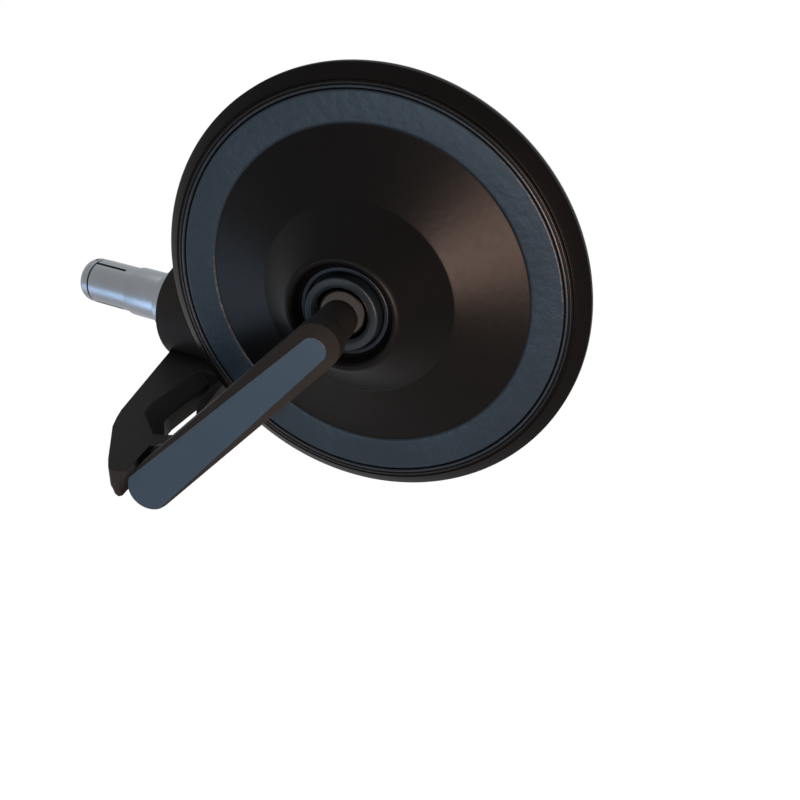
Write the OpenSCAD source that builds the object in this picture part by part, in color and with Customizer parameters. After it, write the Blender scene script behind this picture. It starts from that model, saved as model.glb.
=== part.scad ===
// Motorcycle bar end mirror: expander insert, hub and slotted lower arm, flat upper arm,
// ball joint and round convex mirror head. Units are millimetres.
// Frame: origin where the end of the handlebar seats, +X out along the bar, +Z up,
// glass towards +Y. Built in the pose of the photograph.

/* [Bar insert] */
// Expander sleeve diameter
sleeve_d = 12.6; // [11:0.1:13]
// Expander sleeve length
sleeve_len = 15; // [10:0.5:20]
// Width of the expander slots
slot_w = 0.8; // [0.6:0.1:1.2]
// Centring ring diameter
ring_d = 13.6; // [12.5:0.1:14]
// Centring ring length
ring_len = 13; // [8:0.5:16]
// Shoulder spacer diameter
spacer_d = 17.4; // [16:0.2:22]
// Shoulder spacer thickness
spacer_len = 7; // [4:0.2:9]
// Clamp bolt thread diameter
bolt_d = 6; // [5:1:8]

/* [Hub and lower arm] */
// Hub diameter
hub_d = 29.6; // [26:0.2:34]
// Hub length along the bar
hub_len = 25; // [20:0.5:32]
// Hub bore diameter
hub_bore_d = 16.1; // [14:0.1:20]
// Lower arm plate thickness
arm_t = 7.2; // [6:0.1:9]
// Lower arm slot width
arm_slot_w = 6.6; // [5:0.1:8]
// Width of the bevel along the inboard side of the slot
slot_bevel = 5.6; // [3:0.1:7]
// Depth of that bevel
slot_bevel_h = 2.5; // [1:0.1:4]
// Wall between the elbow recess and the nut window
elbow_wall = 8.5; // [6:0.5:10]

/* [Elbow and upper arm] */
// Distance from elbow to ball axis
link_len = 57.7; // [50:0.5:70]
// Upper arm rise angle in the mirror plane
link_angle = 40.25; // [30:0.25:50]
// Upper arm width
link_w = 11.2; // [9:0.1:14]
// Upper arm thickness
link_t = 6.4; // [5:0.1:8]
// Width of the bevel at the elbow end
edge_bevel = 0.5; // [0.3:0.1:1]
// Yaw of the upper arm about the upright axis
arm_yaw = 21.5; // [10:0.5:30]
// Width of the bevel at the ball end
link_bevel = 2.5; // [1.5:0.1:3]
// Elbow stud shoulder diameter
elbow_d = 4; // [3.5:0.1:5]
// Elbow stud thread diameter
thread_d = 3; // [2.5:0.5:4]

/* [Mirror head] */
// Overall mirror diameter
head_d = 108; // [100:1:116]
// Glass diameter
glass_d = 96.8; // [94:0.2:100]
// Yaw of the mirror about the upright axis
head_yaw = 17.5; // [0:0.5:30]
// Height of the ball centre above the rim plane
ball_h = 16.6; // [14:0.1:20]
// Ball diameter
ball_d = 14; // [12:0.2:16]

/* [Fits] */
// Radial running clearance
run_gap = 0.05; // [0.02:0.01:0.08]
// Free gap between parts that move past each other
free_gap = 0.3; // [0.3:0.05:0.5]

/* [Hidden] */
$fn = 96;
head_pos = [82.6, -11.6, 26];
ball_pos = head_pos + ball_h * [sin(head_yaw), -cos(head_yaw), 0];
spigot_r = ring_d / 2 - 1;
hub_x0 = spacer_len + free_gap;
hub_x1 = hub_x0 + hub_len;
arm_z = -(hub_d - arm_t) / 2;
elbow_u = -link_len * cos(link_angle);
elbow_v = -link_len * sin(link_angle);
face_h = 24.85;
link_back = face_h - link_t;
floor_h = face_h - 11.5;
boss_end = floor_h + 0.5 + free_gap;
wall_h = floor_h - elbow_wall;
recess_r = link_w / 2 + 0.4;
slot_a = [31.3, -18.7];
slot_b = [39.6, -41.8];
slot_turn = atan2(slot_b[1] - slot_a[1], slot_b[0] - slot_a[0]);
seat_r = ball_d / 2 + 0.55;
cup_r = 10.4;
race_in = ball_d / 2 + run_gap;
race_out = seat_r - run_gap;

// Point of the plan view, du along the upper arm's face from the elbow and dh in front of it
function elbow_plan(du, dh) = [
    ball_pos[0] + (elbow_u + du) * cos(arm_yaw) + (face_h + dh) * sin(arm_yaw),
    ball_pos[1] + (elbow_u + du) * sin(arm_yaw) - (face_h + dh) * cos(arm_yaw)];

// Turns local z, the mirror's axis, to the front of the motorcycle
module head_frame() {
    translate(head_pos) rotate([0, 0, head_yaw]) rotate([90, 0, 0]) children();
}

// Frame of the upper arm at the ball centre: z out of its flat face, y up
module arm_frame() {
    translate(ball_pos) rotate([0, 0, arm_yaw]) rotate([90, 0, 0]) children();
}

// Frame of the elbow axis, as deep as the ball centre
module elbow_frame() {
    arm_frame() translate([elbow_u, elbow_v, 0]) children();
}

// Turned part along the bar from a list of [x, radius] points
module bar_turn(points) {
    rotate([0, 90, 0]) rotate_extrude() polygon([for (p = points) [p[1], p[0]]]);
}

// Turned part about the mirror axis from a list of [radius, height] points
module head_turn(points) {
    head_frame() rotate_extrude() polygon(points);
}

module expander_sleeve() {
    x0 = -ring_len - sleeve_len;
    x1 = -ring_len;
    r = sleeve_d / 2;
    color("silver") difference() {
        bar_turn([[x0, 5.3], [x0, r - 0.4], [x0 + 0.4, r], [x1, r], [x1, 3.6], [x0 + 7, 3.6], [x0 + 7, 3.9]]);
        for (a = [15, 135, 255])
            rotate([a, 0, 0]) translate([x0 - 1, -slot_w / 2, 0]) cube([sleeve_len - 2, slot_w, sleeve_d]);
    }
}

module cone_nut() {
    x0 = -ring_len - sleeve_len;
    r = sleeve_d / 2;
    color("silver") difference() {
        bar_turn([[x0 - 3.8, bolt_d / 2], [x0 - 3.8, r - 1.6], [x0 - 3.2, r - 0.5], [x0 - 2.2, r - 0.1],
            [x0 - 0.3, r - 0.1], [x0 - 0.3, 5.15], [x0, 5.15], [x0 + 6, 3.95], [x0 + 6, bolt_d / 2]]);
        translate([x0 - 4, -0.5, r - 1]) cube([3, 1, 2]);
    }
}

module centring_ring() {
    r = ring_d / 2;
    color("silver") bar_turn([[-ring_len, 3.6], [-ring_len, r - 0.5], [-ring_len + 0.5, r], [0, r], [0, spigot_r],
        [3, spigot_r], [3, bolt_d / 2 + 0.2], [-ring_len + 3, bolt_d / 2 + 0.2], [-ring_len + 2, 3.6]]);
}

// Its face at x = 0 is the seat for the end of the handlebar
module shoulder_spacer() {
    r = spacer_d / 2;
    mouth = ring_d / 2 + 0.1;
    color("silver") bar_turn([[3, bolt_d / 2 + 0.2], [3, spigot_r], [0.5, spigot_r], [0.5, mouth], [0, mouth],
        [0, r - 0.4], [0.4, r], [spacer_len - 0.4, r], [spacer_len, r - 0.4], [spacer_len, bolt_d / 2 + 0.2]]);
}

module hub_bush() {
    r = hub_bore_d / 2 - run_gap;
    xf = hub_x1 - 4.5 + free_gap;
    xo = hub_x1 - 0.5;
    rf = hub_d / 2 - 1.4;
    color("dimgray") bar_turn([[spacer_len, bolt_d / 2 + 0.2], [spacer_len, r], [xf, r], [xf, rf], [xo - 0.3, rf],
        [xo, rf - 0.3], [xo, rf - 1.3], [xo - 2.6, 6.4], [xo - 3, 5.5], [xo - 8, 5.5], [xo - 8, bolt_d / 2 + 0.2]]);
}

module bolt_washer() {
    x0 = hub_x1 - 8.5;
    color("silver") bar_turn([[x0, bolt_d / 2 + 0.2], [x0, 5.3], [x0 + 1, 5.3], [x0 + 1, bolt_d / 2 + 0.2]]);
}

module clamp_bolt() {
    xh = hub_x1 - 7.5;
    color("silver") difference() {
        bar_turn([[-ring_len - sleeve_len - 2.6, 0], [-ring_len - sleeve_len - 2.6, bolt_d / 2 - 0.5],
            [-ring_len - sleeve_len - 2.1, bolt_d / 2], [xh, bolt_d / 2], [xh, 5], [xh + 5.6, 5],
            [xh + 6, 4.6], [xh + 6, 0]]);
        translate([xh + 3, 0, 0]) rotate([0, 90, 0]) cylinder(r = 5 / sqrt(3), h = 4, $fn = 6);
    }
}

// Plan outline of the lower arm plate from hub to elbow
module arm_plan() {
    polygon([[hub_x0 + 2.5, -2], [hub_x0 + 4.3, -14.9], [26.6, -47], [28.8, -50.7], [31.5, -54.6],
        elbow_plan(-11.6, -3.6), elbow_plan(-10.2, -0.6), elbow_plan(-9.5, 0.8), elbow_plan(-8.7, 1.7),
        elbow_plan(-7.4, 2.2), elbow_plan(-4, 2.5), elbow_plan(0, 2.6), elbow_plan(0, floor_h - face_h),
        elbow_plan(6.5, floor_h - face_h), elbow_plan(6.5, wall_h - face_h), [52, -40.5], [43, -33], [38.5, -22],
        [hub_x1, -8], [hub_x1, -2]]);
}

// Slot right through the plate, with a wide bevel on its inboard side
module arm_slot() {
    r = arm_slot_w / 2;
    run = norm(slot_b - slot_a);
    top = arm_z + arm_t / 2;
    translate([slot_a[0], slot_a[1], 0]) rotate([0, 0, slot_turn]) {
        for (x = [0, run])
            translate([x, 0, arm_z - arm_t]) cylinder(r = r, h = 2 * arm_t);
        translate([0, -r, arm_z - arm_t]) cube([run, 2 * r, 2 * arm_t]);
        intersection() {
            union() {
                for (x = [0, run])
                    translate([x, 0, top - slot_bevel_h])
                        cylinder(r1 = r, r2 = r + slot_bevel + 0.1, h = slot_bevel_h * (1 + 0.1 / slot_bevel));
                translate([0, 0, top]) rotate([90, 0, 90]) linear_extrude(run)
                    polygon([[0, -slot_bevel_h], [-r, -slot_bevel_h], [-r - slot_bevel, 0], [-r - slot_bevel, 1], [0, 1]]);
            }
            translate([-10, -20, arm_z]) cube([run + 30, 20, arm_t]);
        }
    }
}

module lower_arm() {
    color([0.12, 0.12, 0.13]) difference() {
        union() {
            bar_turn([[hub_x0, 3], [hub_x0, hub_d / 2 - 0.8], [hub_x0 + 0.8, hub_d / 2], [hub_x1 - 0.8, hub_d / 2],
                [hub_x1, hub_d / 2 - 0.8], [hub_x1, 3]]);
            translate([0, 0, arm_z - arm_t / 2]) linear_extrude(arm_t) arm_plan();
        }
        // hub bore and counterbore for the dished bush
        translate([hub_x0 - 1, 0, 0]) rotate([0, 90, 0]) cylinder(d = hub_bore_d, h = hub_len + 2);
        translate([hub_x1 - 4.5, 0, 0]) rotate([0, 90, 0]) cylinder(r = hub_d / 2 - 1.4 + free_gap, h = 6);
        arm_slot();
        elbow_frame() {
            // round recess for the end of the upper arm, with a chamfered mouth
            translate([0, 0, floor_h]) cylinder(r = recess_r, h = 20);
            translate([0, 0, face_h + 1.5]) cylinder(r1 = recess_r, r2 = recess_r + 1.2, h = 1.2);
            // bore of the elbow bush and window for its nut
            translate([0, 0, wall_h - 1]) cylinder(d = elbow_d + 1.4, h = 20);
            translate([-4.1, -10, wall_h - 5.4]) cube([8.2, 20, 5.4]);
        }
    }
}

module elbow_bush() {
    color("peru") elbow_frame() translate([0, 0, wall_h]) difference() {
        cylinder(d = elbow_d + 1.4, h = elbow_wall);
        translate([0, 0, -1]) cylinder(d = elbow_d + 2 * run_gap, h = elbow_wall + 2);
    }
}

module thrust_washer() {
    color("black") elbow_frame() translate([0, 0, floor_h]) difference() {
        cylinder(d = 9.2, h = 0.5);
        translate([0, 0, -1]) cylinder(d = elbow_d + 2 * free_gap, h = 3);
    }
}

module elbow_stud() {
    color("dimgray") elbow_frame() {
        translate([0, 0, wall_h - free_gap]) cylinder(d = elbow_d, h = face_h - 2.5 - wall_h + free_gap);
        translate([0, 0, wall_h - free_gap - 3]) cylinder(d = thread_d, h = 4);
    }
}

module elbow_nut() {
    color("silver") elbow_frame() translate([0, 0, wall_h - free_gap - 2.4]) difference() {
        cylinder(r = 5.5 / sqrt(3), h = 2.4, $fn = 6);
        translate([0, 0, -1]) cylinder(d = thread_d, h = 5);
    }
}

module upper_arm() {
    hw = link_w / 2;
    yaw = atan((link_bevel - edge_bevel) / link_len);
    end_bevel = link_bevel - 0.06;
    tilt = atan(1 / cos(yaw));
    color([0.2, 0.24, 0.28]) elbow_frame() rotate([0, 0, link_angle]) difference() {
        union() {
            translate([0, 0, link_back]) linear_extrude(link_t) union() {
                circle(r = hw);
                translate([link_len, 0]) circle(r = hw);
                translate([0, -hw]) square([link_len, link_w]);
            }
            translate([0, 0, boss_end]) cylinder(d = 9.2, h = link_back - boss_end + 0.01);
        }
        // tapering bevels along both long edges
        for (side = [0, 1])
            mirror([0, side, 0]) translate([0, hw - edge_bevel, face_h]) rotate([-tilt, 0, -yaw])
                translate([-20, -10, 0]) cube([link_len + 21, 30, 10]);
        // cone bevel round the ball end
        translate([link_len, 0, face_h - end_bevel]) difference() {
            translate([0, -hw - 3, 0]) cube([hw + 3, link_w + 6, end_bevel + 2]);
            cylinder(r1 = hw, r2 = hw - end_bevel - 0.01, h = end_bevel + 0.01);
        }
        // holes for the elbow stud and the ball stud
        translate([0, 0, boss_end - 1]) cylinder(d = elbow_d, h = face_h - 1.5 - boss_end);
        translate([link_len, 0, link_back - 1]) cylinder(d = 5, h = 5);
    }
}

module ball_boss() {
    color([0.08, 0.08, 0.09]) arm_frame() difference() {
        translate([0, 0, 4]) cylinder(r1 = 4.3, r2 = 5.2, h = link_back - 4);
        sphere(d = ball_d + 0.02);
        cylinder(d = 5, h = 40);
    }
}

module ball_stud() {
    color("white") arm_frame() {
        sphere(d = ball_d);
        cylinder(d = 5, h = link_back + 4);
    }
}

// Spherical band between two radii and two heights about the ball centre
module ball_band(ri, ro, z0, z1) {
    head_frame() translate([0, 0, ball_h]) intersection() {
        difference() {
            sphere(r = ro);
            sphere(r = ri);
            cylinder(r = 1, h = 40, center = true);
        }
        translate([0, 0, z0]) cylinder(r = ro + 2, h = z1 - z0);
    }
}

module ball_race() {
    color("ivory") ball_band(race_in, race_out, -4.5, 1.1);
}

module ball_seat() {
    color("gray") head_frame() difference() {
        translate([0, 0, 8.5]) cylinder(r = cup_r, h = ball_h - 8.5);
        translate([0, 0, ball_h]) sphere(r = seat_r);
        cylinder(r = 2, h = 30);
    }
}

module retaining_ring() {
    color([0.3, 0.36, 0.42]) head_frame() difference() {
        union() {
            translate([0, 0, ball_h]) cylinder(r = cup_r, h = 0.9);
            translate([0, 0, ball_h]) cylinder(r = 9.1, h = 3.9);
            translate([0, 0, ball_h + 3.9]) cylinder(r1 = 9.1, r2 = 8.8, h = 0.3);
        }
        intersection() {
            translate([0, 0, ball_h]) sphere(r = seat_r);
            translate([0, 0, ball_h - 5]) cylinder(r = 9, h = 8.1);
        }
        translate([0, 0, ball_h]) cylinder(r = ball_d / 2 - 0.5, h = 10);
        translate([0, 0, ball_h + 3.6]) cylinder(r1 = ball_d / 2 - 0.5, r2 = ball_d / 2 + 0.3, h = 0.8);
    }
}

module socket_clip() {
    color("silver") head_turn([[9.1 + free_gap, ball_h + 1.2], [11, ball_h + 1.2], [11, ball_h + 1.7],
        [10.8, ball_h + 1.9], [9.6 + free_gap, ball_h + 1.9], [9.1 + free_gap, ball_h + 1.7]]);
}

module mirror_shell() {
    bore = cup_r + run_gap;
    color([0.13, 0.13, 0.14]) head_turn([
        [bore, 8.2], [8.6, 8.2], [8.6, 7], [13.2, 7], [13.2, 15.8], [15.3, 15.8], [23.5, 7.6], [39.8, 1.1],
        [45.5, 1.1], [45.5, 0.6], [48.4, 0.6], [48.58, 0.8], [48.58, 2.9], [48.1, 3.4], [40.8, 3.4], [40.3, 3.05],
        [24.4, 10], [24, 10.2], [14.5, 20.4], [13.8, 20.9], [13, 20.9], [12.6, 20.6], [11.3, 18.6], [11, 18.5],
        [11, ball_h + 1.2], [bore, ball_h + 1.2]]);
}

module rim_ring() {
    r = head_d / 2;
    color([0.1, 0.1, 0.11]) head_turn([
        [48.6, 3.1], [48.6, -3.1], [47.3, -3.1], [46.9, -3.5], [47.2, -4.1], [48.6, -4.7], [50.6, -4.9], [52.5, -4.2],
        [r - 0.5, -2.9], [r, -1.2], [r, 0], [r - 0.3, 0.3], [51, 2.7], [50.8, 2.4], [50.5, 2.5], [50.4, 3], [49.9, 3.3],
        [49.7, 3], [49.4, 3.1], [49.3, 3.4], [48.9, 3.5]]);
}

module rim_seal() {
    color("black") head_turn([[47.4, -1], [48.6, -1], [48.6, 0.6], [47.4, 0.6]]);
}

module glass_pad() {
    color("gray") head_frame() translate([0, 0, -1]) difference() {
        cylinder(r = 47.4, h = 1.6);
        translate([0, 0, -1]) cylinder(r = 20, h = 4);
    }
}

module mirror_glass() {
    r = glass_d / 2;
    dome = 0.98;
    color([0.75, 0.8, 0.85]) head_turn(concat([[0, -1], [r, -1], [r, -2.7], [r - 0.25, -2.95]],
        [for (k = [7:-1:0]) let (q = (r - 0.6) * k / 7) [q, -2.95 - dome * (1 - pow(q / r, 2))]]));
}

expander_sleeve();
cone_nut();
centring_ring();
shoulder_spacer();
hub_bush();
clamp_bolt();
bolt_washer();
lower_arm();
elbow_bush();
thrust_washer();
upper_arm();
elbow_stud();
elbow_nut();
ball_boss();
ball_stud();
ball_race();
ball_seat();
retaining_ring();
socket_clip();
mirror_shell();
rim_ring();
rim_seal();
glass_pad();
mirror_glass();
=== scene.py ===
import bmesh
import bpy
import math
import numpy as np
from mathutils import Matrix, Vector
from mathutils.geometry import tessellate_polygon


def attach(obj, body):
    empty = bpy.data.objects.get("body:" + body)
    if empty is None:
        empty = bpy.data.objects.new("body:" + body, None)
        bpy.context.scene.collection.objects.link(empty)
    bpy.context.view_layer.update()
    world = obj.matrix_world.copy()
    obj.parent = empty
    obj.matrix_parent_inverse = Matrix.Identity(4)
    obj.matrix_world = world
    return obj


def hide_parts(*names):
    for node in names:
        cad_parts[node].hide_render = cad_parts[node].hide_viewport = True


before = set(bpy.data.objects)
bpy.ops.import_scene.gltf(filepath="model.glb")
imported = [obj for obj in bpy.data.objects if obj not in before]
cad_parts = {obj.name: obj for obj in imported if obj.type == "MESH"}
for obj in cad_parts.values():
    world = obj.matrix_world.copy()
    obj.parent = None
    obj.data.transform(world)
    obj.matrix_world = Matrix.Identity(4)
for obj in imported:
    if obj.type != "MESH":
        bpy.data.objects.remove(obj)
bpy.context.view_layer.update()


# Bar insert: expander sleeve, cone nut, centring ring and shoulder spacer, turned from bare
# aluminium, drawn together by a socket head bolt that passes through the dished hub bush.
# The cutting tool leaves fine rings round the bar's axis, which stretch the highlights. Sizes
# are in millimetres here and up to the studio.

INSERT_RADIUS = 6.8
SPIGOT_RADIUS = 5.8
SPACER_RADIUS = 8.7
SPACER_END = 7.0
HUB_END = 32.3
PATCH_SIZE = 15.4
BAR_CENTRE = (0.0, 0.0, 0.0)
BAR_TURN = Matrix(((0, 0, 1), (0, 1, 0), (-1, 0, 0)))


def srgb(code):
    """Linear colour of a hex code, with the standard curve c = ((s + 0.055) / 1.055) ** 2.4."""
    parts = [int(code[i:i + 2], 16) / 255 for i in (1, 3, 5)]
    linear = [s / 12.92 if s <= 0.04045 else ((s + 0.055) / 1.055) ** 2.4 for s in parts]
    return (*linear, 1.0)


def add_node(tree, kind, inputs=None, **settings):
    """Adds one shader node with its settings and the values or links of its inputs."""
    node = tree.nodes.new(kind)
    for name, value in settings.items():
        setattr(node, name, value)
    for key, value in (inputs or {}).items():
        if isinstance(value, bpy.types.NodeSocket):
            tree.links.new(value, node.inputs[key])
        else:
            node.inputs[key].default_value = value
    return node


def finish_of(name, dark, light, roughness, spread, metallic=0.0, level=0.5, stretch=(1, 1, 1),
              grain=1.11, relief=0.0):
    """Surface whose colour runs from dark to light over soft patches. Its roughness varies by
    spread, and its height by relief in mm, over a grain in mm that may be stretched along an
    axis and is deeper in the lighter patches. Level is the strength of a coat's own gloss."""
    material = bpy.data.materials.new(name)
    material.use_nodes = True
    tree = material.node_tree
    shader = tree.nodes["Principled BSDF"]
    shader.inputs["Metallic"].default_value = metallic
    if not metallic:
        shader.inputs["Specular IOR Level"].default_value = level
    place = add_node(tree, "ShaderNodeTexCoord").outputs["Object"]
    drawn = add_node(tree, "ShaderNodeMapping", {"Vector": place, "Scale": stretch})
    drift = add_node(tree, "ShaderNodeTexNoise", {"Vector": place, "Scale": 1000 / PATCH_SIZE, "Detail": 4.0})
    fine = add_node(tree, "ShaderNodeTexNoise", {
        "Vector": drawn.outputs["Vector"], "Scale": 1000 / grain, "Detail": 3.0})
    tint = add_node(tree, "ShaderNodeMix", {0: drift.outputs["Fac"], 6: srgb(dark), 7: srgb(light)},
                    data_type="RGBA")
    rough = add_node(tree, "ShaderNodeMapRange", {
        "Value": fine.outputs["Fac"], "To Min": roughness - spread, "To Max": roughness + spread})
    depth = add_node(tree, "ShaderNodeMath", {0: fine.outputs["Fac"], 1: drift.outputs["Fac"]},
                     operation="MULTIPLY")
    height = add_node(tree, "ShaderNodeBump", {"Height": depth.outputs[0], "Distance": relief / 1000})
    tree.links.new(tint.outputs[2], shader.inputs["Base Color"])
    tree.links.new(rough.outputs["Result"], shader.inputs["Roughness"])
    tree.links.new(height.outputs["Normal"], shader.inputs["Normal"])
    return material


def coat(material, *names):
    """Gives CAD nodes that stay in view this material in place of their plain one."""
    for name in names:
        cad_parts[name].data.materials.clear()
        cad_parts[name].data.materials.append(material)


def stand_in(name, node, body, mesh, materials):
    """Object of a mesh in these materials, which rides on a body in place of a CAD node."""
    mesh.materials.clear()
    for material in materials:
        mesh.materials.append(material)
    piece = bpy.data.objects.new(name, mesh)
    bpy.context.collection.objects.link(piece)
    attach(piece, body)
    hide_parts(node)
    return piece


def rounded(corners, cut):
    """Profile whose corners C become curves (1-t)^2 A + 2t(1-t) C + t^2 B, where A and B lie
    at most cut back along the two edges. Corners on the axis stay sharp."""
    corner = np.array(corners, float)
    back = np.roll(corner, 1, axis=0) - corner
    ahead = np.roll(corner, -1, axis=0) - corner
    reach = np.where(corner[:, :1] > 0, cut, 0.0)
    start = corner + back * np.minimum(reach / np.linalg.norm(back, axis=1, keepdims=True), 0.45)
    end = corner + ahead * np.minimum(reach / np.linalg.norm(ahead, axis=1, keepdims=True), 0.45)
    t = np.linspace(0, 1, 5)[None, :, None]
    curve = (1 - t) ** 2 * start[:, None] + 2 * t * (1 - t) * corner[:, None] + t ** 2 * end[:, None]
    return curve.reshape(-1, 2)


def turned(name, node, body, corners, centre, turn, materials, cut=0.25, steps=192):
    """Turned piece (r cos a, r sin a, h) for each profile point (r, h) in mm and angle a,
    turned by a rotation and moved to centre. It stands for the CAD node of the same form."""
    profile = rounded(corners, cut)
    count = len(profile)
    angle = np.linspace(0, 2 * math.pi, steps, endpoint=False)[:, None]
    local = np.stack([profile[:, 0] * np.cos(angle), profile[:, 0] * np.sin(angle),
                      profile[:, 1] + 0 * angle], -1)
    points = (local.reshape(-1, 3) @ np.array(turn).T + np.array(centre)) / 1000
    i, j = np.meshgrid(np.arange(steps), np.arange(count), indexing="ij")
    next_i, next_j = (i + 1) % steps, (j + 1) % count
    quads = np.stack([i * count + j, i * count + next_j, next_i * count + next_j, next_i * count + j], -1)
    mesh = bpy.data.meshes.new(name)
    mesh.from_pydata(points.tolist(), [], quads.reshape(-1, 4).tolist())
    work = bmesh.new()
    work.from_mesh(mesh)
    bmesh.ops.remove_doubles(work, verts=work.verts, dist=1e-7)
    bmesh.ops.recalc_face_normals(work, faces=work.faces)
    work.to_mesh(mesh)
    work.free()
    mesh.shade_smooth()
    mesh.set_sharp_from_angle(angle=math.radians(35))
    return stand_in(name, node, body, mesh, materials)


# Bare aluminium is a mid-grey metal with long soft highlights. Its turning rings are drawn
# 0.5 mm apart, coarser than real ones, so that they show.
bare_aluminium = finish_of("bare_turned_aluminium", "#6f7378", "#868a8f", 0.34, 0.08, metallic=1.0,
                           stretch=(1, 0.02, 0.02), grain=0.5, relief=0.03)
# Machined steel is lighter and smoother than the aluminium.
bright_steel = finish_of("bright_machined_steel", "#9fa1a5", "#bcbec2", 0.27, 0.06, metallic=1.0, grain=0.667)
# Satin black anodising is dark all over, with a wide faint sheen and no clear reflections.
satin_black = finish_of("satin_black_anodised", "#151515", "#1b1b1a", 0.45, 0.05, level=0.022,
                        grain=0.833, relief=0.02)

turned("insert_ring", "centring_ring", "bar_mount", [
    (3.6, -13), (INSERT_RADIUS - 0.5, -13), (INSERT_RADIUS, -12.5), (INSERT_RADIUS, 0), (SPIGOT_RADIUS, 0),
    (SPIGOT_RADIUS, 3), (3.2, 3), (3.2, -10), (3.6, -11)],
    BAR_CENTRE, BAR_TURN, [bare_aluminium], cut=0.15)
turned("insert_shoulder", "shoulder_spacer", "bar_mount", [
    (3.2, 3), (SPIGOT_RADIUS, 3), (SPIGOT_RADIUS, 0.5), (INSERT_RADIUS + 0.1, 0.5), (INSERT_RADIUS + 0.1, 0),
    (SPACER_RADIUS - 0.4, 0), (SPACER_RADIUS, 0.4),
    (SPACER_RADIUS, SPACER_END - 0.4), (SPACER_RADIUS - 0.4, SPACER_END), (3.2, SPACER_END)],
    BAR_CENTRE, BAR_TURN, [bare_aluminium], cut=0.15)
turned("dished_bush", "hub_bush", "bar_mount", [
    (3.2, SPACER_END), (8, SPACER_END), (8, HUB_END - 4.2), (13.4, HUB_END - 4.2), (13.4, HUB_END - 0.8),
    (13.1, HUB_END - 0.5), (12.1, HUB_END - 0.5), (6.4, HUB_END - 3.1), (5.5, HUB_END - 3.5),
    (5.5, HUB_END - 8.5), (3.2, HUB_END - 8.5)],
    BAR_CENTRE, BAR_TURN, [satin_black], cut=0.2)
coat(bare_aluminium, "expander_sleeve", "cone_nut")
coat(bright_steel, "clamp_bolt", "bolt_washer", "elbow_nut")


# Lower arm: an aluminium plate milled in one piece with the hub and anodised satin black, with a
# slot right through it and a round recess for the end of the upper arm. The plate is built up
# from outlines at eight heights, and its edges get the small round that a machined edge has.

HEAD_YAW = math.radians(17.5)
HEAD_CENTRE = np.array([82.6, -11.6, 26.0])
BALL_HEIGHT = 16.6
ARM_YAW = math.radians(21.5)
ARM_FACE_HEIGHT = 24.85
ARM_LENGTH = 58.6
ARM_ANGLE = math.radians(41.5)
PLATE_TOP = -7.6
PLATE_BOTTOM = -14.8
HUB_START = 7.3
HUB_WALL = 14.25
RECESS_RADIUS = 6.7
RECESS_FLOOR = -11.5
SLOT_BEVEL_DEPTH = 2.6
CORNER_CUT = 2.4
PLATE_ROUND = 0.3


def upright_turn(yaw):
    """Rotation whose columns are the across, up and outward axes of an upright face, turned by
    yaw about the upright."""
    return np.array([[math.cos(yaw), 0, math.sin(yaw)], [math.sin(yaw), 0, -math.cos(yaw)], [0, 1, 0]])


HEAD_TURN = upright_turn(HEAD_YAW)
ARM_TURN = upright_turn(ARM_YAW)
BALL_CENTRE = HEAD_CENTRE + BALL_HEIGHT * HEAD_TURN[:, 2]
ARM_DIRECTION = math.cos(ARM_ANGLE) * ARM_TURN[:, 0] + math.sin(ARM_ANGLE) * ARM_TURN[:, 1]
ELBOW = BALL_CENTRE - ARM_LENGTH * ARM_DIRECTION


def edge_rounded(name, node, body, mesh, width, materials):
    """Piece from a mesh with its loose triangles joined, flat faces made whole and each edge
    sharper than 25 degrees rounded by width in mm. It stands for the node."""
    mesh.name = name
    work = bmesh.new()
    work.from_mesh(mesh)
    bmesh.ops.remove_doubles(work, verts=work.verts, dist=2e-6)
    bmesh.ops.dissolve_limit(work, angle_limit=math.radians(0.5), verts=work.verts, edges=work.edges)
    bmesh.ops.recalc_face_normals(work, faces=work.faces)
    work.to_mesh(mesh)
    work.free()
    mesh.shade_smooth()
    if mesh.has_custom_normals:
        mesh.normals_split_custom_set([(0, 0, 0)] * len(mesh.loops))
    mesh.set_sharp_from_angle(angle=math.radians(25))
    piece = stand_in(name, node, body, mesh, materials)
    soften = piece.modifiers.new("edge_round", "BEVEL")
    soften.limit_method = "ANGLE"
    soften.angle_limit = math.radians(25)
    soften.width = width / 1000
    soften.segments = 2
    soften.use_clamp_overlap = True
    soften.harden_normals = True
    return piece


def near_elbow(along, out):
    """Plan point along mm from the elbow in the upper arm's plane and out mm before its face."""
    point = ELBOW + along * ARM_TURN[:, 0] + (ARM_FACE_HEIGHT + out) * ARM_TURN[:, 2]
    return (point[0], point[1])


def plate_outline(z):
    """Outline of the plate at height z. Its end follows the hub wall, y^2 + z^2 = r^2, and the
    recess beside the elbow is a circle about the elbow's axis. Under the corner the outline
    steps back evenly over the lowest few millimetres."""
    end = -math.sqrt(HUB_WALL ** 2 - z ** 2) if z > -14 else -2.0
    outer_x = max(HUB_END, HUB_END + 0.45 * (-8 - end))
    side = -math.sqrt(RECESS_RADIUS ** 2 - (z - ELBOW[2]) ** 2)
    under = 2.2 * max(0.0, (PLATE_BOTTOM + CORNER_CUT - z) / CORNER_CUT)
    return [
        (HUB_START + 2.5, end), (HUB_START + 4.3, min(end, -14.9)), (26.6, -47),
        (28.8 + 0.2 * under, -50.7 + 0.4 * under), (31.5 + 0.3 * under, -54.6 + under),
        near_elbow(-11.8 + 0.6 * under, -3.7 - 0.6 * under),
        near_elbow(-10.4 + 0.6 * under, -0.7 - 0.6 * under),
        near_elbow(-9.7 + 0.3 * under, 0.7 - 0.6 * under), near_elbow(-8.9, 1.6 - 0.4 * under),
        near_elbow(side - 1.0, 2.1 - 0.1 * under), near_elbow(side - 0.2, 1.3),
        near_elbow(side, RECESS_FLOOR), near_elbow(6.5, RECESS_FLOOR), near_elbow(6.5, -24), (50.3, -39.1),
        (43, -33), (38.5, -22), (outer_x, end)]


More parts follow.
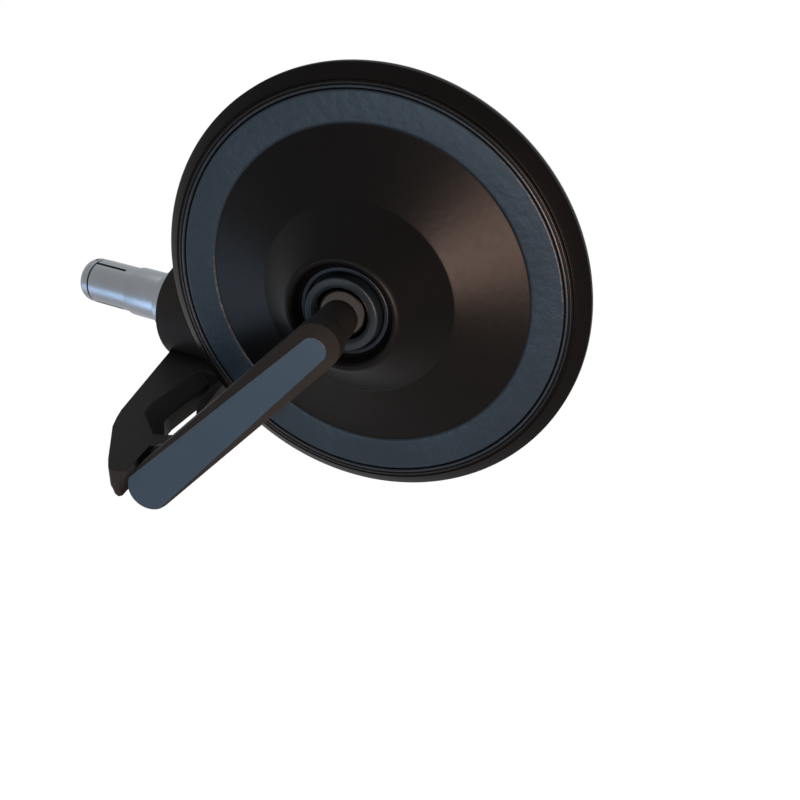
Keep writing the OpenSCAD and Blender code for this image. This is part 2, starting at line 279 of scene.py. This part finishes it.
def plate_slot(z):
    """Opening of the plate at height z. Its inboard side leans over in the top few millimetres."""
    lean = max(0.0, (z - PLATE_TOP + SLOT_BEVEL_DEPTH) / SLOT_BEVEL_DEPTH)
    return [
        (31 - 4.2 * lean, -19.8 + 0.8 * lean), (35.3 - 4.8 * lean, -38.5 - 1.4 * lean),
        (37 - 4 * lean, -42.4 - 2.6 * lean), near_elbow(-3.7 - 2.4 * lean, -19 + 1.4 * lean),
        near_elbow(3.7, -19), near_elbow(3.4, -24), (46.2, -40), (42, -35.6), (38.4, -30), (36.2, -22),
        (35.1, -19.5), (33.4, -18.2)]


levels = [PLATE_BOTTOM, -14.0, -13.2, -12.4, -11.3, PLATE_TOP - SLOT_BEVEL_DEPTH, -8.9, PLATE_TOP]
outer = np.array([plate_outline(z) for z in levels])
inner = np.array([plate_slot(z) for z in levels])
outer_count = outer.shape[1]
inner_count = inner.shape[1]
ring_count = outer_count + inner_count
rings = np.concatenate([outer, inner], axis=1)
heights = np.repeat(levels, ring_count).reshape(len(levels), ring_count, 1)
points = np.concatenate([rings, heights], axis=2).reshape(-1, 3) / 1000
here = np.arange(ring_count)
following = np.concatenate([np.roll(here[:outer_count], -1), np.roll(here[outer_count:], -1)])
first = np.arange(len(levels) - 1)[:, None] * ring_count
low = first + here
low_next = first + following
walls = np.stack([low, low_next, low_next + ring_count, low + ring_count], -1)
faces = walls.reshape(-1, 4).tolist()
for k in (0, len(levels) - 1):
    loops = [[Vector((x, y, 0)) for x, y in loop] for loop in (outer[k], inner[k])]
    faces += (np.array(tessellate_polygon(loops)) + k * ring_count).tolist()
plate_mesh = bpy.data.meshes.new("lower_arm_plate")
plate_mesh.from_pydata(points.tolist(), [], faces)
edge_rounded("lower_arm_plate", "lower_arm", "lower_arm_body", plate_mesh, PLATE_ROUND, [satin_black])
turned("lower_arm_hub", "lower_arm", "lower_arm_body", [
    (8.05, HUB_START), (14, HUB_START), (14.8, HUB_START + 0.8), (14.8, HUB_END - 0.8), (14, HUB_END),
    (13.7, HUB_END), (13.7, HUB_END - 4.5), (8.05, HUB_END - 4.5)],
    BAR_CENTRE, BAR_TURN, [satin_black], cut=0.2)


# Upper arm: a flat aluminium bar, milled and anodised satin black, whose flat face is painted
# slate-grey as a painted reflection of cool light, beside black bevels and sides. Its mesh is the
# CAD form, turned and stretched about the ball so that its elbow end lies a little lower, with its
# edges slightly rounded.

CAD_LENGTH = 57.7
CAD_ANGLE = math.radians(40.25)
ARM_GRAIN = 0.714
ARM_ROUND = 0.2

# The machined face's slate-grey is a painted reflection: its blue-grey colour stands in for the
# cool light that the face catches.
face_painted_reflection = finish_of("anodised_face_painted_reflection", "#13212b", "#172733", 0.36, 0.04, level=0.16,
                       grain=ARM_GRAIN, relief=0.02)

arm_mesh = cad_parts["upper_arm"].data.copy()
place = np.zeros(len(arm_mesh.vertices) * 3)
arm_mesh.vertices.foreach_get("co", place)
local = (place.reshape(-1, 3) * 1000 - BALL_CENTRE) @ ARM_TURN
along = -math.cos(CAD_ANGLE) * local[:, 0] - math.sin(CAD_ANGLE) * local[:, 1]
across = math.sin(CAD_ANGLE) * local[:, 0] - math.cos(CAD_ANGLE) * local[:, 1]
along += (ARM_LENGTH - CAD_LENGTH) * np.clip(along / CAD_LENGTH, 0, 1)
local[:, 0] = -math.cos(ARM_ANGLE) * along + math.sin(ARM_ANGLE) * across
local[:, 1] = -math.sin(ARM_ANGLE) * along - math.cos(ARM_ANGLE) * across
arm_mesh.vertices.foreach_set("co", ((local @ ARM_TURN.T + BALL_CENTRE) / 1000).ravel())
arm = edge_rounded("upper_arm_bar", "upper_arm", "upper_arm_body", arm_mesh, ARM_ROUND,
                   [satin_black, face_painted_reflection])
facing = np.zeros(len(arm.data.polygons) * 3)
arm.data.polygons.foreach_get("normal", facing)
# Faces turned outward get the painted slate reflection, and the rest stays black.
flat = facing.reshape(-1, 3) @ ARM_TURN[:, 2] > 0.999
arm.data.polygons.foreach_set("material_index", flat.astype(np.int32))


# Ball joint: a chromed ball on a black tapered boss, held in the head by a ring nut over a
# plastic liner and cup, with a thin spring ring round the nut.

BALL_RADIUS = 7.0
ARM_BACK = 18.45

# Chrome mirrors what is round it. Its colour is darker than real chrome's, because this studio
# is white on every side.
chrome = finish_of("polished_chrome", "#3a3633", "#46413d", 0.16, 0.03, metallic=1.0)
# Moulded acetal is matt with a faint sheen, cream for the liner and black for the cup.
natural_acetal = finish_of("natural_acetal", "#c2bca8", "#d2ccb9", 0.5, 0.05)
black_acetal = finish_of("black_acetal", "#161616", "#1c1c1c", 0.5, 0.05, level=0.3)
# Bearing bronze is a warm metal, and oxide leaves steel nearly black but still metallic.
plain_bronze = finish_of("bearing_bronze", "#9c6a34", "#b98246", 0.35, 0.06, metallic=1.0)
oxide_steel = finish_of("black_oxide_steel", "#17191c", "#202226", 0.35, 0.06, metallic=1.0)
# The ring nut's slate tint is a painted reflection like the arm face's, a little darker.
ring_nut_painted_reflection = finish_of("anodised_ring_painted_reflection", "#0d1418", "#11191e", 0.34, 0.04, level=0.16,
                       grain=ARM_GRAIN, relief=0.01)

polar = np.linspace(-math.pi / 2, math.radians(52), 40)
ball_curve = np.stack([BALL_RADIUS * np.cos(polar), BALL_RADIUS * np.sin(polar)], -1)
ball_curve[0, 0] = 0.0
turned("ball_and_shank", "ball_stud", "upper_arm_body",
       [*ball_curve.tolist(), (2.5, 6.2), (2.5, ARM_BACK + 4), (0, ARM_BACK + 4)],
       BALL_CENTRE, ARM_TURN, [chrome], cut=0.02, steps=96)
turned("tapered_boss", "ball_boss", "upper_arm_body", [
    (2.5, 6.55), (4.3, 5.55), (4.5, 5.9), (5.2, ARM_BACK), (2.5, ARM_BACK)],
    BALL_CENTRE, ARM_TURN, [satin_black], cut=0.1, steps=96)
turned("ring_nut", "retaining_ring", "cup_body", [
    (10.4, 16.6), (10.4, 17.5), (9.1, 17.5), (9.1, 20.5), (8.8, 20.8), (7.3, 20.8), (6.5, 20.2), (6.5, 19.7),
    (6.88, 19.7), (7.3, 18.5), (7.55, 16.6)],
    HEAD_CENTRE, HEAD_TURN, [ring_nut_painted_reflection], cut=0.15, steps=128)
turned("spring_ring", "socket_clip", "head_body", [
    (9.4, 17.8), (11, 17.8), (11, 18.3), (10.8, 18.5), (9.9, 18.5), (9.4, 18.3)],
    HEAD_CENTRE, HEAD_TURN, [oxide_steel], cut=0.15, steps=128)
coat(natural_acetal, "ball_race")
coat(black_acetal, "ball_seat", "thrust_washer")
coat(plain_bronze, "elbow_bush")
coat(oxide_steel, "elbow_stud")


# Mirror shell: an aluminium casting turned inside and out, satin black, with a flat outer band
# that keeps the slightly leathery skin of the casting. The band is painted slate-grey as a painted
# reflection of cool light.

BAND_INNER = 40.35
BAND_OUTER = 48.3
BAND_LOW = 3.1
LEATHER_GRAIN = 2.38


def face_places(piece):
    """Distance from the head's axis and height along it, in mm, of the middle of each face."""
    middle = np.zeros(len(piece.data.polygons) * 3)
    piece.data.polygons.foreach_get("center", middle)
    local = (middle.reshape(-1, 3) * 1000 - HEAD_CENTRE) @ HEAD_TURN
    return np.hypot(local[:, 0], local[:, 1]), local[:, 2]


# The band's slate-grey is a painted reflection. Its bumps follow the skin of the casting, which
# is dimpled like leather.
band_painted_reflection = finish_of("casting_band_painted_reflection", "#0c151c", "#121e27", 0.32, 0.06, level=0.13,
                       grain=LEATHER_GRAIN, relief=0.3)
# The black coat on the turned dish is nearly smooth, with soft reflections.
black_cast = finish_of("satin_black_coat_on_casting", "#030303", "#050505", 0.35, 0.04, level=0.055,
                       grain=1.667, relief=0.06)

shell = turned("mirror_shell_dish", "mirror_shell", "head_body", [
    (10.45, 8.2), (8.6, 8.2), (8.6, 7), (13.2, 7), (13.2, 15.8), (15.3, 15.8), (23.5, 7.6), (39.8, 1.1),
    (45.5, 1.1), (45.5, 0.6), (48.4, 0.6), (48.58, 0.8), (48.58, 2.9), (48.1, 3.4), (40.8, 3.4), (40.3, 3.05),
    (24.4, 10), (24, 10.2), (14.5, 20.4), (13.8, 20.9), (13, 20.9), (12.6, 20.6), (11.3, 18.6), (11, 18.5),
    (11, 17.8), (10.45, 17.8)],
    HEAD_CENTRE, HEAD_TURN, [black_cast, band_painted_reflection], cut=0.3, steps=256)
radius, height = face_places(shell)
# The flat band takes the painted slate reflection.
in_band = (radius > BAND_INNER) & (radius < BAND_OUTER) & (height > BAND_LOW)
shell.data.polygons.foreach_set("material_index", in_band.astype(np.int32))


# Rim: a turned aluminium ring, satin black, that clamps shell, seal and glass. Its front carries
# fine grooves whose crests are painted slate as thin painted highlight lines.

RIM_RADIUS = 54.0
CREST_OUTER = 50.6
CREST_HEIGHT = 3.2

# The rim is the blackest part. Its groove crests are painted slate as painted highlights.
rim_black = finish_of("satin_black_turned_rim", "#040404", "#060606", 0.36, 0.05, level=0.04, grain=0.667)
crest_painted_highlight = finish_of("groove_crests_painted_highlight", "#0c1216", "#141c22", 0.3, 0.04, level=0.16)

rim = turned("rim_with_grooves", "rim_ring", "head_body", [
    (48.6, 3.1), (48.6, -3.1), (47.3, -3.1), (46.9, -3.5), (47.2, -4.1), (48.6, -4.7), (50.6, -4.9),
    (52.5, -4.2), (RIM_RADIUS - 0.5, -2.9), (RIM_RADIUS, -1.2), (RIM_RADIUS, 0), (RIM_RADIUS - 0.3, 0.3),
    (51, 2.7), (50.8, 2.4), (50.5, 2.5), (50.4, 3), (49.9, 3.3), (49.7, 3), (49.4, 3.1), (49.3, 3.4),
    (48.9, 3.5)],
    HEAD_CENTRE, HEAD_TURN, [rim_black, crest_painted_highlight], cut=0.12, steps=256)
radius, height = face_places(rim)
# The crest faces get the painted highlight.
on_crest = (radius < CREST_OUTER) & (height > CREST_HEIGHT)
rim.data.polygons.foreach_set("material_index", on_crest.astype(np.int32))


# Glass, pad and seal: a slightly domed glass, silvered behind, rests on a moulded pad in the
# shell and is sealed to the rim by a rubber ring.

GLASS_RADIUS = 48.4
GLASS_BACK = -1.0
GLASS_EDGE = -2.7
GLASS_DOME = 0.98

# Rubber is matt black, the pad a plain moulded grey, and the silvering mirrors clearly.
seal_rubber = finish_of("black_rubber", "#101010", "#171717", 0.7, 0.05, level=0.3)
pad_plastic = finish_of("moulded_grey_plastic", "#2a2a2a", "#343434", 0.6, 0.05)
silvered_glass = finish_of("silvered_glass", "#dfe4e8", "#e3e8ec", 0.02, 0.01, metallic=1.0)

dome_step = np.linspace(GLASS_RADIUS - 0.6, 0, 24)
dome = np.stack([dome_step, GLASS_EDGE - 0.25 - GLASS_DOME * (1 - (dome_step / GLASS_RADIUS) ** 2)], -1)
turned("convex_glass", "mirror_glass", "head_body", [
    (0, GLASS_BACK), (GLASS_RADIUS, GLASS_BACK), (GLASS_RADIUS, GLASS_EDGE),
    (GLASS_RADIUS - 0.25, GLASS_EDGE - 0.25), *dome.tolist()],
    HEAD_CENTRE, HEAD_TURN, [silvered_glass], cut=0.05, steps=256)
coat(seal_rubber, "rim_seal")
coat(pad_plastic, "glass_pad")


# Studio: a pale floor well below the mirror, which hangs from the handlebar in use, and a white
# surround. A white lamp hangs above, two cool ones stand low in front and at the left, and a
# warm one low at the side. Places and sizes are in metres.

FLOOR_HEIGHT = -0.3
FLOOR_HALF = 4.0
SHADOW_SHARE = 0.12
FLOOR_WHITE = 1.08

floor_mesh = bpy.data.meshes.new("floor")
corners = [(-1, -1), (1, -1), (1, 1), (-1, 1)]
places = [(FLOOR_HALF * x, FLOOR_HALF * y, FLOOR_HEIGHT) for x, y in corners]
floor_mesh.from_pydata(places, [], [(0, 1, 2, 3)])
floor = bpy.data.objects.new("floor", floor_mesh)
bpy.context.collection.objects.link(floor)


def seen_rays(tree):
    """1 for rays from the camera and for those that a surface mirrors or lets through."""
    path = add_node(tree, "ShaderNodeLightPath")
    either = add_node(tree, "ShaderNodeMath", {
        0: path.outputs["Is Camera Ray"], 1: path.outputs["Is Glossy Ray"]}, operation="MAXIMUM")
    return add_node(tree, "ShaderNodeMath", {0: either.outputs[0], 1: path.outputs["Is Transmission Ray"]},
                    operation="MAXIMUM").outputs[0]


ground = bpy.data.materials.new("pale_floor_paint")
ground.use_nodes = True
tree = ground.node_tree
tree.nodes["Principled BSDF"].inputs["Base Color"].default_value = srgb("#e4e4e4")
share = add_node(tree, "ShaderNodeMath", {0: seen_rays(tree), 1: 1 - SHADOW_SHARE}, operation="MULTIPLY")
white = add_node(tree, "ShaderNodeEmission", {"Color": (1, 1, 1, 1), "Strength": FLOOR_WHITE})
blend = add_node(tree, "ShaderNodeMixShader", {
    0: share.outputs[0], 1: tree.nodes["Principled BSDF"].outputs[0], 2: white.outputs[0]})
tree.links.new(blend.outputs[0], tree.nodes["Material Output"].inputs["Surface"])
floor_mesh.materials.append(ground)

# The surround lights the mirror as a mid grey, and is white where it is seen or mirrored.
world = bpy.data.worlds.new("white_surround")
bpy.context.scene.world = world
world.use_nodes = True
tree = world.node_tree
ambient = tree.nodes["Background"]
ambient.inputs["Color"].default_value = srgb("#8c8f94")
ambient.inputs["Strength"].default_value = 1.0
surround = add_node(tree, "ShaderNodeBackground", {"Color": (1, 1, 1, 1), "Strength": 1.0})
blend = add_node(tree, "ShaderNodeMixShader", {
    0: seen_rays(tree), 1: ambient.outputs[0], 2: surround.outputs[0]})
tree.links.new(blend.outputs[0], tree.nodes["World Output"].inputs["Surface"])


def soft_lamp(name, place, size, power, colour):
    """A square area lamp at place, turned to face the mirror head."""
    data = bpy.data.lights.new(name, "AREA")
    data.size = size
    data.energy = power
    data.color = srgb(colour)[:3]
    lamp = bpy.data.objects.new(name, data)
    lamp.location = place
    lamp.rotation_euler = (Vector(HEAD_CENTRE / 1000) - Vector(place)).to_track_quat("-Z", "Y").to_euler()
    bpy.context.collection.objects.link(lamp)


soft_lamp("top_lamp", (-0.27, 0.34, 1.33), 0.9, 9.0, "#ffffff")
soft_lamp("front_lamp", (0.15, -0.675, -0.06), 0.26, 1.6, "#bcd8f2")
soft_lamp("low_left_lamp", (-0.3, -0.42, -0.24), 0.3, 1.5, "#a4c8f0")
soft_lamp("side_lamp", (0.47, -0.442, 0.0), 0.26, 9.0, "#ffd6c2")


# Camera: it stands at the photograph's viewing angle, which was fitted to the circles of the
# mirror head. Its place is in metres, and its three axes are unit vectors.

CAMERA_PLACE = (0.34251, -0.31886, 0.18493)
CAMERA_RIGHT = (0.786060, 0.615724, -0.054715)
CAMERA_UP = (-0.225419, 0.367944, 0.902111)
CAMERA_BACK = (0.575583, -0.696779, 0.428022)

camera_data = bpy.data.cameras.new("camera")
camera_data.sensor_width = 36.0
camera_data.lens = 81.0
camera_data.clip_start = 0.01
camera = bpy.data.objects.new("camera", camera_data)
camera.matrix_world = Matrix((*zip(CAMERA_RIGHT, CAMERA_UP, CAMERA_BACK, CAMERA_PLACE), (0, 0, 0, 1)))
bpy.context.collection.objects.link(camera)
bpy.context.scene.camera = camera
bpy.context.scene.view_settings.view_transform = "Standard"
